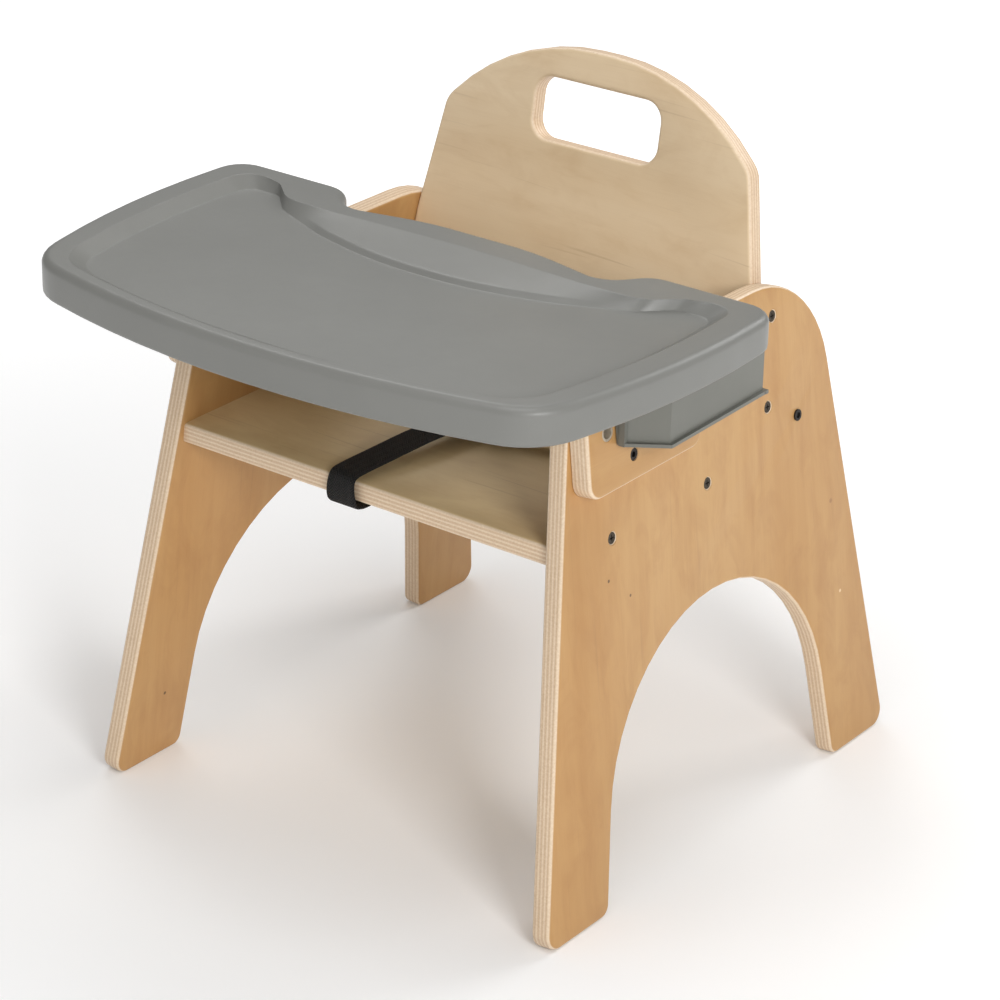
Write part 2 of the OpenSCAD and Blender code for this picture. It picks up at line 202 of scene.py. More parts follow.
def edge_steps(r, seg=5):
    """(inset from the outline, depth below the face) along a quarter circle, from face to edge."""
    angles = [math.pi / 2 * i / seg for i in range(seg + 1)]
    return [(r * (1 - math.sin(a)), r * (1 - math.cos(a))) for a in angles]


def inward_normals(loop):
    out = []
    n = len(loop)
    for i in range(n):
        a, b, c = Vector(loop[i - 1]), Vector(loop[i]), Vector(loop[(i + 1) % n])
        e, f = (b - a).normalized(), (c - b).normalized()
        ne, nf = Vector((-e.y, e.x)), Vector((-f.y, f.x))
        out.append((ne + nf) / max(0.3, 1 + ne.dot(nf)))
    return out


def rounded_board(name, loops, m, w_top, w_bottom, r, r_back=None):
    """A board with rounded-over edges: every loop (outline first, then holes) is inset by the edge
    radius in steps that follow a quarter circle, on both faces. Nothing reaches below the floor."""
    bm = bmesh.new()
    order = [(d, w_top - h) for d, h in edge_steps(r)]
    order += [(d, w_bottom + h) for d, h in reversed(edge_steps(r_back or r))]
    rims = {1: [], -1: []}
    for li, loop in enumerate(loops):
        loop = simplify(loop)
        if (loop_area(loop) > 0) != (li == 0):
            loop = loop[::-1]
        inward = inward_normals(loop)
        rings = [[bm.verts.new(m @ Vector((p[0] + q.x * d, p[1] + q.y * d, w))) for p, q in zip(loop, inward)]
                 for d, w in order]
        skin(bm, rings)
        rims[1].append(rings[0])
        rims[-1].append(rings[-1])
    inv, turn = m.inverted(), m.to_3x3()
    for side, rings in rims.items():
        flat = [[(inv @ v.co).to_2d().to_3d() for v in ring] for ring in rings]
        verts = [v for ring in rings for v in ring]
        for tri in geometry.tessellate_polygon(flat):
            f = bm.faces.new([verts[i] for i in tri])
            f.normal_update()
            if f.normal.dot(turn @ Vector((0, 0, side))) < 0:
                f.normal_flip()
    for v in bm.verts:
        v.co.z = max(v.co.z, 0.0)
    bmesh.ops.recalc_face_normals(bm, faces=bm.faces)
    return from_bmesh(bm, name)


def cut(me, cutters):
    """The mesh less each cutter mesh, in one pass."""
    o = bpy.data.objects.new("tmp_cut", me)
    scene.collection.objects.link(o)
    tmp = []
    for c in cutters:
        k = bpy.data.objects.new("tmp_cutter", c)
        scene.collection.objects.link(k)
        md = o.modifiers.new("cut", "BOOLEAN")
        md.object, md.operation, md.solver = k, "DIFFERENCE", "EXACT"
        tmp.append(k)
    bpy.context.view_layer.update()
    dg = bpy.context.evaluated_depsgraph_get()
    out = bpy.data.meshes.new_from_object(o.evaluated_get(dg), depsgraph=dg)
    for k in tmp + [o]:
        bpy.data.objects.remove(k)
    return out


def revolve_cutter(m, u, v, profile, n=28):
    """A turned solid along w at (u, v): profile is a list of (w, radius), closed at both ends."""
    turn = [2 * math.pi * i / n for i in range(n)]
    return solid([[m @ Vector((u + r * math.cos(a), v + r * math.sin(a), w)) for a in turn]
                  for w, r in profile], "cutter")


def bore(m, loop, deep):
    """Cutter for a plain hole down to w = deep, with a broken edge at the show face."""
    u, v, r = circle(loop)
    soft = 0.3 * MM
    return revolve_cutter(m, u, v, [(deep, r), (-soft, r), (0.1 * MM, r + soft), (PROUD, r + soft)])


def circle(loop):
    """Centre and radius of a round outline."""
    u = sum(p[0] for p in loop) / len(loop)
    v = sum(p[1] for p in loop) / len(loop)
    return u, v, sum(math.dist(p, (u, v)) for p in loop) / len(loop)


def weighted(o):
    """Keeps broad flat faces flat up to their softened edges."""
    md = o.modifiers.new("weighted", "WEIGHTED_NORMAL")
    md.weight, md.keep_sharp = 100, True


def polish(node, name, bevel, seg, body, slot, material):
    """A copy of a CAD node with clean flat faces and softened edges, standing in for it."""
    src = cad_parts[node]
    bm = bmesh.new()
    bm.from_mesh(src.data)
    bmesh.ops.remove_doubles(bm, verts=bm.verts, dist=2e-6)
    bmesh.ops.dissolve_limit(bm, angle_limit=math.radians(1.2), use_dissolve_boundaries=False,
                             verts=bm.verts, edges=bm.edges)
    sharp = [e for e in bm.edges if len(e.link_faces) == 2 and e.calc_face_angle(0) > math.radians(28)]
    bmesh.ops.bevel(bm, geom=sharp, offset=bevel * MM, segments=seg, profile=0.5, affect="EDGES",
                    clamp_overlap=True, offset_type="OFFSET")
    me = from_bmesh(bm, name)
    smooth_by_angle(me, 32)
    weighted(new_object(name, me, body, node, material))


# ---------------------------------------------------------------- node material helpers
class Mat:
    """Small helper for building a node material."""

    def __init__(self, name):
        self.m = bpy.data.materials.new(name)
        self.m.use_nodes = True
        self.t = self.m.node_tree
        self.bsdf = next(n for n in self.t.nodes if n.type == "BSDF_PRINCIPLED")

    def node(self, kind, **props):
        n = self.t.nodes.new(kind)
        for k, v in props.items():
            setattr(n, k, v)
        return n

    def link(self, a, b):
        self.t.links.new(a, b)
        return b

    def put(self, socket, value):
        if isinstance(value, bpy.types.NodeSocket):
            self.t.links.new(value, socket)
        else:
            socket.default_value = value

    def math(self, op, a, b=0.0, c=0.0, clamp=False):
        n = self.node("ShaderNodeMath", operation=op, use_clamp=clamp)
        for i, x in enumerate((a, b, c)):
            self.put(n.inputs[i], x)
        return n.outputs[0]

    def attr(self, name):
        return self.node("ShaderNodeAttribute", attribute_name=name).outputs["Vector"]

    def position(self):
        return self.node("ShaderNodeTexCoord").outputs["Object"]

    def split(self, v):
        return self.node_out("ShaderNodeSeparateXYZ", v)

    def node_out(self, kind, v):
        n = self.node(kind)
        self.put(n.inputs[0], v)
        return n.outputs

    def join(self, x, y, z):
        n = self.node("ShaderNodeCombineXYZ")
        for i, v in enumerate((x, y, z)):
            self.put(n.inputs[i], v)
        return n.outputs[0]

    def scale(self, v, s):
        n = self.node("ShaderNodeVectorMath", operation="MULTIPLY")
        self.put(n.inputs[0], v)
        n.inputs[1].default_value = s if isinstance(s, (tuple, list)) else (s, s, s)
        return n.outputs[0]

    def add(self, v, s):
        n = self.node("ShaderNodeVectorMath", operation="ADD")
        self.put(n.inputs[0], v)
        self.put(n.inputs[1], s)
        return n.outputs[0]

    def noise(self, v, scale=1.0, detail=3.0, rough=0.5, distortion=0.0, out="Fac"):
        n = self.node("ShaderNodeTexNoise")
        self.put(n.inputs["Vector"], v)
        n.inputs["Scale"].default_value = scale
        n.inputs["Detail"].default_value = detail
        n.inputs["Roughness"].default_value = rough
        n.inputs["Distortion"].default_value = distortion
        return n.outputs[out]

    def ramp(self, fac, stops, interp="LINEAR"):
        n = self.node("ShaderNodeValToRGB")
        n.color_ramp.interpolation = interp
        el = n.color_ramp.elements
        while len(el) < len(stops):
            el.new(0.5)
        for e, (p, c) in zip(el, stops):
            e.position = p
            e.color = (c, c, c, 1) if isinstance(c, (int, float)) else (*c, 1)
        self.put(n.inputs[0], fac)
        return n.outputs[0]

    def mix(self, fac, a, b, blend="MIX"):
        n = self.node("ShaderNodeMix", data_type="RGBA", blend_type=blend)
        self.put(n.inputs[0], fac)
        for i, c in ((6, a), (7, b)):
            if isinstance(c, tuple):
                n.inputs[i].default_value = (*c, 1)
            else:
                self.put(n.inputs[i], c)
        return n.outputs[2]

    def bump(self, height, strength, distance, normal=None):
        n = self.node("ShaderNodeBump")
        n.inputs["Strength"].default_value = strength
        n.inputs["Distance"].default_value = distance
        self.put(n.inputs["Height"], height)
        if normal is not None:
            self.put(n.inputs["Normal"], normal)
        return n.outputs[0]

    def shader(self, color=None, rough=None, normal=None, **fixed):
        if color is not None:
            self.put(self.bsdf.inputs["Base Color"], (*color, 1) if isinstance(color, tuple) else color)
        if rough is not None:
            self.put(self.bsdf.inputs["Roughness"], rough)
        if normal is not None:
            self.put(self.bsdf.inputs["Normal"], normal)
        for k, v in fixed.items():
            self.bsdf.inputs[k.replace("_", " ")].default_value = v
        return self.m


def srgb(r, g, b):
    f = lambda c: (c / 255 / 12.92) if c / 255 <= 0.04045 else ((c / 255 + 0.055) / 1.055) ** 2.4
    return (f(r), f(g), f(b))


# ---------------------------------------------------------------- materials
VENEER, PALE_PLY = 0.35 * MM, 2.2 * MM        # how deep the face veneer and the pale ply under it reach
INNER_PLIES = 7


def wood(name, grain="v", tone=(188, 142, 86), light=(199, 157, 103), dark=(167, 118, 67), seed=0.0,
         streak=0.2, spots=()):
    """Lacquered birch plywood: long grain on the faces, alternating plies on the edges."""
    k = Mat(name)
    p = k.attr("board")
    s = k.split(p)
    u, v, w = s["X"], s["Y"], s["Z"]
    along, across = (v, u) if grain == "v" else (u, v)
    a, c = k.math("ADD", along, seed), k.math("ADD", across, seed * 0.37)
    # slow wander of the grain, then fibres stretched along it
    wander = k.noise(k.join(k.math("MULTIPLY", c, 7), k.math("MULTIPLY", a, 1.6), 0.3), 1.0, 2.0)
    c2 = k.math("ADD", c, k.math("MULTIPLY", k.math("SUBTRACT", wander, 0.5), 0.045))
    cloud = k.noise(k.join(k.math("MULTIPLY", c2, 16), k.math("MULTIPLY", a, 2.2), 1.7), 1.0, 3.0, 0.55)
    bands = k.noise(k.join(k.math("MULTIPLY", c2, 75), k.math("MULTIPLY", a, 3.5), 4.1), 1.0, 3.0, 0.6)
    fibre = k.noise(k.join(k.math("MULTIPLY", c2, 900), k.math("MULTIPLY", a, 26), 7.9), 1.0, 2.0, 0.6)
    flame = k.noise(k.join(k.math("MULTIPLY", c2, 30), k.math("MULTIPLY", a, 42), 2.2), 1.0, 2.0, 0.5)
    tone1 = k.mix(k.ramp(cloud, [(0.32, 0.0), (0.68, 1.0)]), srgb(*tone), srgb(*light))
    tone2 = k.mix(k.math("MULTIPLY", k.ramp(bands, [(0.42, 0.0), (0.75, 1.0)]), streak), tone1, srgb(*dark))
    tone3 = k.mix(k.math("MULTIPLY", k.ramp(fibre, [(0.5, 0.0), (0.8, 1.0)]), 0.15), tone2, srgb(*dark))
    # soft blotches, about as long as they are wide
    blotch = k.noise(k.join(k.math("MULTIPLY", c2, 42), k.math("MULTIPLY", a, 17), 9.6), 1.0, 4.0, 0.6, 0.6)
    tone3 = k.mix(k.math("MULTIPLY", k.ramp(blotch, [(0.45, 0.0), (0.68, 1.0)]), 0.36), tone3, srgb(*dark))
    face = k.mix(k.math("MULTIPLY", k.ramp(flame, [(0.35, 1.0), (0.6, 0.0)]), 0.10), tone3, srgb(*light))
    # sparse mineral streaks, short dark hairlines along the grain
    hair = k.noise(k.join(k.math("MULTIPLY", c2, 330), k.math("MULTIPLY", a, 7), 12.3), 1.0, 1.0, 0.4)
    face = k.mix(k.math("MULTIPLY", k.ramp(hair, [(0.70, 0.0), (0.78, 1.0)]), 0.22), face, srgb(150, 112, 76))
    # small marks: knots, and dark spots of painted shade where nail holes and a dent are, which have no
    # hollow in the mesh
    for su, sv, sw, radius, tint in spots:
        here = k.node("ShaderNodeVectorMath", operation="DISTANCE")
        k.put(here.inputs[0], p)
        here.inputs[1].default_value = (su * MM, sv * MM, sw * MM)
        mark = k.ramp(k.math("DIVIDE", here.outputs["Value"], radius * MM), [(0.55, 1.0), (1.0, 0.0)])
        face = k.mix(k.math("MULTIPLY", mark, 0.85), face, srgb(*tint))
    # edges: a pale ply under each face veneer, then thinner plies, every second one browner
    depth = k.math("MULTIPLY", w, -1.0)                                  # 0 at the show face
    below = k.math("SUBTRACT", PLY / 2, k.math("ABSOLUTE", k.math("SUBTRACT", depth, PLY / 2)))
    wob = k.math("MULTIPLY", k.math("SUBTRACT", k.noise(k.scale(p, (45, 45, 5)), 1.0, 2.0), 0.5), 0.0003)
    inner = k.math("ADD", k.math("SUBTRACT", depth, PALE_PLY), wob)
    ply_n = k.math("ADD", k.math("DIVIDE", inner, (PLY - 2 * PALE_PLY) / INNER_PLIES), 20.0)
    line = k.math("ABSOLUTE", k.math("SUBTRACT", k.math("FRACT", ply_n), 0.5))
    parity = k.math("MODULO", k.math("FLOOR", ply_n), 2.0)
    grainy = k.noise(k.scale(p, (700, 700, 700)), 1.0, 2.0, 0.6)
    pale = k.mix(k.ramp(grainy, [(0.3, 0.0), (0.7, 1.0)]), srgb(221, 196, 166), srgb(234, 213, 186))
    brown = k.mix(k.ramp(grainy, [(0.3, 0.0), (0.7, 1.0)]), srgb(205, 174, 141), srgb(220, 191, 158))
    plies = k.mix(parity, brown, pale)
    broken = k.ramp(k.noise(k.scale(p, (60, 60, 260)), 1.0, 3.0, 0.6), [(0.35, 0.04), (0.65, 0.34)])
    glue = k.math("MULTIPLY", k.ramp(line, [(0.38, 0.0), (0.48, 1.0)]), broken)
    plies = k.mix(glue, plies, srgb(158, 122, 92))
    past = lambda limit, fade: k.ramp(k.math("DIVIDE", k.math("SUBTRACT", below, limit), fade),
                                      [(0.0, 0.0), (1.0, 1.0)])
    edge = k.mix(past(PALE_PLY, 0.3 * MM), pale, plies)
    inside = past(VENEER, 0.4 * MM)
    color = k.mix(inside, face, edge)
    rough = k.math("ADD", 0.40, k.math("MULTIPLY", bands, 0.14))
    h = k.math("ADD", k.math("MULTIPLY", fibre, 0.6), k.math("MULTIPLY", bands, 0.4))
    nrm = k.bump(h, 0.12, 0.0004)
    return k.shader(color, rough, nrm, Specular_IOR_Level=0.42, Coat_Weight=0.12, Coat_Roughness=0.28)


def moulded(name, rgb, seed=0.0, rough=0.42, bump=0.16, vary=0.05, scale=1400.0, wear=0.0):
    """Moulded plastic: fine stipple, slow tone drift, and light rubbed patches."""
    k = Mat(name)
    p = k.add(k.position(), (seed, seed * 0.7, seed * 1.3))
    slow = k.noise(k.scale(p, 9.0), 1.0, 3.0, 0.6)
    mid = k.noise(k.scale(p, 60.0), 1.0, 4.0, 0.6)
    fine = k.noise(k.scale(p, scale), 1.0, 2.0, 0.5)
    base = srgb(*rgb)
    hi = tuple(min(1, c * (1 + vary * 2)) for c in base)
    lo = tuple(c * (1 - vary * 2) for c in base)
    c = k.mix(k.ramp(slow, [(0.3, 0.0), (0.7, 1.0)]), lo, hi)
    c = k.mix(k.math("MULTIPLY", k.ramp(mid, [(0.4, 0.0), (0.75, 1.0)]), 0.3), c, base)
    r = k.math("ADD", rough - 0.05, k.math("MULTIPLY", mid, 0.12))
    nrm = k.bump(fine, bump, 0.0003)
    nrm = k.bump(mid, 0.05, 0.0006, nrm)
    if wear:
        scr = k.noise(k.scale(p, (30.0, 700.0, 30.0)), 1.0, 2.0, 0.5)
        scr2 = k.noise(k.scale(p, (500.0, 24.0, 30.0)), 1.0, 2.0, 0.5)
        rubbed = k.math("MAXIMUM", k.ramp(scr, [(0.74, 0.0), (0.80, 1.0)]),
                        k.ramp(scr2, [(0.75, 0.0), (0.81, 1.0)]))
        c = k.mix(k.math("MULTIPLY", rubbed, wear), c, tuple(min(1, x * 1.6) for x in base))
    return k.shader(c, r, nrm, Specular_IOR_Level=0.42)


def metal(name, rgb, rough=0.34, seed=0.0, metallic=1.0, grain=900.0):
    """Plated or blackened steel with fine machining marks and dull spots."""
    k = Mat(name)
    p = k.add(k.position(), (seed, seed, seed))
    spots = k.noise(k.scale(p, 420.0), 1.0, 3.0, 0.6)
    lines = k.noise(k.scale(p, (grain, grain, grain * 0.2)), 1.0, 2.0, 0.5)
    base = srgb(*rgb)
    c = k.mix(k.ramp(spots, [(0.35, 0.0), (0.7, 1.0)]), tuple(x * 0.72 for x in base), base)
    r = k.math("ADD", rough - 0.06, k.math("MULTIPLY", spots, 0.2))
    return k.shader(c, r, k.bump(lines, 0.12, 0.0002), Metallic=metallic)


def webbing(name):
    """Black webbing: a diamond twill that follows the strap, with a plain selvedge."""
    k = Mat(name)
    p = k.attr("strap")                      # x across from the middle, y along, z height
    s = k.split(p)
    x, y = s["X"], s["Y"]
    pitch = 0.0021
    fx = k.math("DIVIDE", x, pitch)
    fy = k.math("DIVIDE", y, pitch)
    zig = k.math("PINGPONG", fx, 1.5)
    twill = k.math("SINE", k.math("MULTIPLY", k.math("ADD", fy, zig), 2 * math.pi))
    yarn = k.math("SINE", k.math("MULTIPLY", fx, 2 * math.pi * 2.0))
    weave = k.math("ADD", k.math("MULTIPLY", twill, 0.5), k.math("MULTIPLY", yarn, 0.25))
    fuzz = k.noise(k.scale(p, 3000.0), 1.0, 2.0, 0.6)
    tone = k.math("MULTIPLY_ADD", weave, 0.5, 0.5)
    c = k.mix(k.ramp(tone, [(0.35, 0.0), (0.95, 1.0)]), (0.001, 0.001, 0.001), (0.034, 0.032, 0.030))
    c = k.mix(k.math("MULTIPLY", fuzz, 0.10), c, (0.035, 0.034, 0.032))
    h = k.math("ADD", weave, k.math("MULTIPLY", fuzz, 0.3))
    return k.shader(c, 0.62, k.bump(h, 1.0, 0.0007), Sheen_Weight=0.04, Sheen_Roughness=0.4,
                    Specular_IOR_Level=0.22)


# the first two colours are painted shade: dark spots for the shade inside nail holes and in a dent, which the
# mesh does not hollow out
NAIL_HOLE_SHADE, DENT_SHADE, KNOT = (78, 52, 30), (160, 116, 74), (206, 168, 96)
M_SIDE = {
    "right_side_panel": wood("birch_right", "v", seed=1.3, spots=(
        (-83.3, 235.7, 0, 1.5, NAIL_HOLE_SHADE), (-60.2, 217.1, 0, 1.3, NAIL_HOLE_SHADE), (187.7, 198.0, 0, 2.2, DENT_SHADE),
        (195.7, 125.0, 0, 1.6, (236, 208, 168)))),
    "left_side_panel": wood("birch_left", "v", seed=22.7, spots=((-127.1, 52.1, -15, 1.6, NAIL_HOLE_SHADE),))}
M_BACK = wood("birch_back", "u", tone=(218, 192, 155), light=(228, 206, 173), dark=(200, 168, 127), seed=5.2,
              streak=0.12, spots=((-6.0, 176.0, 0, 3.4, KNOT), (-2.5, 174.6, 0, 2.4, KNOT)))
M_SEAT = wood("birch_seat", "u", tone=(222, 195, 146), light=(230, 205, 159), dark=(200, 167, 118), seed=9.4,
              streak=0.14)
M_RAIL = wood("birch_rail", "u", seed=14.1)
M_TRAY = moulded("tray_grey", (122, 122, 118), 0.2, rough=0.36, vary=0.02, wear=0.10)
M_HOUSE = moulded("housing_grey", (112, 112, 105), 3.1, rough=0.42, vary=0.015)
M_BLACK = moulded("black_moulded", (30, 31, 33), 6.0, rough=0.4, vary=0.05)
M_RED = moulded("red_moulded", (168, 30, 32), 8.0, rough=0.3, vary=0.04)
M_ZINC = metal("zinc_plate", (176, 174, 168), 0.36, 1.0)
M_BRIGHT = metal("bright_steel", (205, 202, 196), 0.26, 2.0)
M_SCREW = metal("dull_screw", (96, 88, 78), 0.5, 4.0)
M_INSERT = metal("plated_insert", (212, 200, 180), 0.4, 5.0, metallic=0.45)
M_DARK = metal("black_oxide", (58, 54, 52), 0.42, 3.0, metallic=0.85)
M_WEB = webbing("black_webbing")

# ---------------------------------------------------------------- boards
EDGE_R = 2.8 * MM                             # roundover of the boards' edges
SMALL_AREA = 1.6e-4                           # square metres: outlines below this are round holes
SCREW_HOLE = 3.6 * MM                         # rims wider than this are wood screws' countersinks
PROUD = 2 * MM                                # how far a cutter stands out of the face it cuts
SHANK_R, HEAD_R, RIM_R = 1.96 * MM, 4.1 * MM, 5.1 * MM
COUNTERSINK = [(-PLY - PROUD, SHANK_R), (-3.4 * MM, SHANK_R), (-1.2 * MM, HEAD_R), (-0.1 * MM, RIM_R),
               (PROUD, RIM_R)]


def small(loop):
    return abs(loop_area(loop)) < SMALL_AREA


def place_board(name, node, me, m, material):
    smooth_by_angle(me, 30)
    board_position(me, m)
    new_object(name, me, "chair", node, material)


def side_boards():
    for name, sign in (("right_side_panel", 1), ("left_side_panel", -1)):
        m = side_axes(sign)
        loops = face_loops(name, m, 0.0)
        big = [q for q in loops if not small(q)]
        me = rounded_board(name + "_board", big, m, 0.0, -PLY, EDGE_R)
        cutters = []
        for q in loops:
            if not small(q):
                continue
            u, v, r = circle(q)
            sunk = r > SCREW_HOLE
            cutters.append(revolve_cutter(m, u, v, COUNTERSINK) if sunk else bore(m, q, -PLY - PROUD))
        place_board("board_" + name, name, cut(me, cutters), m, M_SIDE[name])


side_boards()


def back_board():
    loops = face_loops("backrest", BACK, 0.0)
    big = [q for q in loops if not small(q)]
    me = rounded_board("backrest_board", big, BACK, 0.0, -PLY, EDGE_R)
    place_board("board_backrest", "backrest", me, BACK, M_BACK)


back_board()


def seat():
    m = axes(Vector((1, 0, 0)), Vector((0, 1, 0)), Vector((0, 0, 1)), Vector((0, 0, SEAT_Z)))
    lo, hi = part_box("seat_board")
    x0 = HALF_FLOOR - PLY / math.cos(SPLAY)
    steps = edge_steps(EDGE_R)
    prof = [(hi[1], hi[2])] + [(lo[1] + d, hi[2] - h) for d, h in steps]
    prof += [(lo[1] + d, lo[2] + h) for d, h in reversed(steps)] + [(hi[1], lo[2])]
    ends = [[(s * (x0 - z * math.tan(SPLAY)), y, z) for y, z in prof] for s in (-1, 1)]
    place_board("board_seat", "seat_board", solid(ends, "seat"), m, M_SEAT)


seat()

GROOVE_AREA = 3e-4                            # square metres: an outline this large is the groove
INSERT_HOLE = 5 * MM                          # rims narrower than this are blind screw heads' holes


def rails():
    for name, sign in (("right_tray_rail", 1), ("left_tray_rail", -1)):
        m = side_axes(sign)
        m.translation = m @ Vector((0, 0, PLY))
        loops = face_loops(name, m, 0.0)
        me = rounded_board(name + "_board", [loops[0]], m, 0.0, -PLY + 0.00002, 3.4 * MM, 1.0 * MM)
        cutters = []
        for q in loops[1:]:
            if abs(loop_area(q)) < GROOVE_AREA:
                blind = circle(q)[2] < INSERT_HOLE
                cutters.append(bore(m, q, -4 * MM if blind else -PLY - 0.2 * MM))
        for q in loops[1:]:
            if abs(loop_area(q)) >= GROOVE_AREA:
                walls = [[m @ Vector((*p, w)) for p in q] for w in (-3.5 * MM, PROUD)]
                cutters.append(solid(walls, "groove"))
        place_board("board_" + name, name, cut(me, cutters), m, M_RAIL)


rails()


# ---------------------------------------------------------------- tray
def unit(v):
    n = math.hypot(*v)
    return (v[0] / n, v[1] / n)


def rounded(q):
    """Closed polygon whose corner i has radius q[i][2]."""
    out, n = [], len(q)
    for i in range(n):
        a, p, b, r = q[i - 1], q[i], q[(i + 1) % n], q[i][2]
        if r < 0.1:
            out.append((p[0], p[1]))
            continue
        u, v = unit((a[0] - p[0], a[1] - p[1])), unit((b[0] - p[0], b[1] - p[1]))
        half = math.acos(max(-1, min(1, u[0] * v[0] + u[1] * v[1]))) / 2
        k = unit((u[0] + v[0], u[1] + v[1]))
        c = (p[0] + k[0] * r / math.sin(half), p[1] + k[1] * r / math.sin(half))
        s = (p[0] + u[0] * r / math.tan(half) - c[0], p[1] + u[1] * r / math.tan(half) - c[1])
        e = (p[0] + v[0] * r / math.tan(half) - c[0], p[1] + v[1] * r / math.tan(half) - c[1])
        sweep = math.atan2(s[0] * e[1] - s[1] * e[0], s[0] * e[0] + s[1] * e[1])
        m = max(6, int(abs(sweep) / math.radians(4)))
        for j in range(m + 1):
            t = sweep * j / m
            cos, sin = math.cos(t), math.sin(t)
            out.append((c[0] + s[0] * cos - s[1] * sin, c[1] + s[0] * sin + s[1] * cos))
    return out


def symmetric(q):
    return q + [(-x, y, r) for x, y, r in reversed(q)]


TRAY_OUT = rounded(symmetric([(94, -246.3, 725), (212.3, -215.7, 48), (239.8, -95, 600), (232, 22, 23),
                              (132, 22, 24), (110.5, -6.7, 22), (45, 8, 200)]))


def stations(loop, keys, counts):
    """Resamples a closed loop so that the point nearest each key lands on a fixed index."""
    n = len(loop)
    at = [min(range(n), key=lambda i: math.dist(loop[i], k)) for k in keys]
    # loop runs anticlockwise from the front centre; keys are given in the same order
    length = [0.0]
    for i in range(n):
        length.append(length[-1] + math.dist(loop[i], loop[(i + 1) % n]))
    total = length[-1]

    def point(s):
        s %= total
        lo, hi = 0, n
        while hi - lo > 1:
            mid = (lo + hi) // 2
            if length[mid] <= s:
                lo = mid
            else:
                hi = mid
        a, b = loop[lo], loop[(lo + 1) % n]
        t = (s - length[lo]) / max(1e-9, length[lo + 1] - length[lo])
        return (a[0] + (b[0] - a[0]) * t, a[1] + (b[1] - a[1]) * t)

    out = []
    for i, c in enumerate(counts):
        s0, s1 = length[at[i]], length[at[(i + 1) % len(at)]]
        if s1 <= s0 + 1e-6:
            s1 += total
        for j in range(c):
            out.append(point(s0 + (s1 - s0) * j / c))
    return out


def offset_loop(loop, d):
    """The loop moved inward by d, point by point."""
    n = len(loop)
    out = []
    for i in range(n):
        a, b, c = loop[i - 1], loop[i], loop[(i + 1) % n]
        e, f = unit((b[0] - a[0], b[1] - a[1])), unit((c[0] - b[0], c[1] - b[1]))
        m = (-e[1] - f[1], e[0] + f[0])
        k = 1 + (e[0] * f[0] + e[1] * f[1])
        out.append((b[0] + m[0] * d / k, b[1] + m[1] * d / k))
    return out


# rim's inner edge (top of the slope) and the basin floor's edge
RIM_IN = rounded(symmetric([(88, -235.5, 640), (194, -207, 40), (215.5, -97, 600), (210, 0.5, 15),
                            (192, 3.5, 24), (174, -1.5, 14), (151, -22, 28), (112, -22.5, 60), (60, -20, 160),
                            (20, -18.3, 100)]))
FLOOR = rounded(symmetric([(84, -221.5, 600), (185.5, -199, 34), (205.5, -97, 600), (199, -6, 12),
                           (171, -6, 13), (151, -26.5, 26), (100, -49, 90), (40, -65, 260)]))


def notch(side):
    """Box that clears the rear skirt for a latch housing's top plate."""
    bm = bmesh.new()
    bmesh.ops.create_cube(bm, size=1.0)
    lo, hi = Vector((171.6, 10, 376)) * MM, Vector((209.2, 30, 388.52)) * MM
    for v in bm.verts:
        c = [lo[i] + (hi[i] - lo[i]) * (v.co[i] + 0.5) for i in range(3)]
        v.co = (side * c[0], c[1], c[2])
    bmesh.ops.recalc_face_normals(bm, faces=bm.faces)
    return from_bmesh(bm, "notch")


BASIN, WALL, LIP = 7.0, 3.2, 6.0              # tray: basin depth, wall and roundover, mm
EDGE_RUN, EDGE_TOP = 5, 4                     # the slope's crisp lower edge: its run, and where it starts
SKIRT_TILT = math.tan(math.radians(0.57))     # the skirt's lower edge rises towards the rear


def slope_point(a, b, s, top):
    """A point on the way from the rim to the floor: a wide slope falls gently to a crisp lower edge."""
    w = math.dist(a, b)
    narrow, bend = 14, 0.8
    edge = 1 - EDGE_RUN / max(w, narrow)
    wide = max(0.0, min(1.0, (w - narrow) / narrow))
    fall = BASIN * edge + (EDGE_TOP - BASIN * edge) * wide * wide * (3 - 2 * wide)
    if s < bend:
        t, z = edge * s / bend, fall * s / bend
    else:
        f = (s - bend) / (1 - bend)
        t, z = edge + (1 - edge) * f, fall + (BASIN - fall) * f
    return (a[0] + (b[0] - a[0]) * t, a[1] + (b[1] - a[1]) * t, top - z)


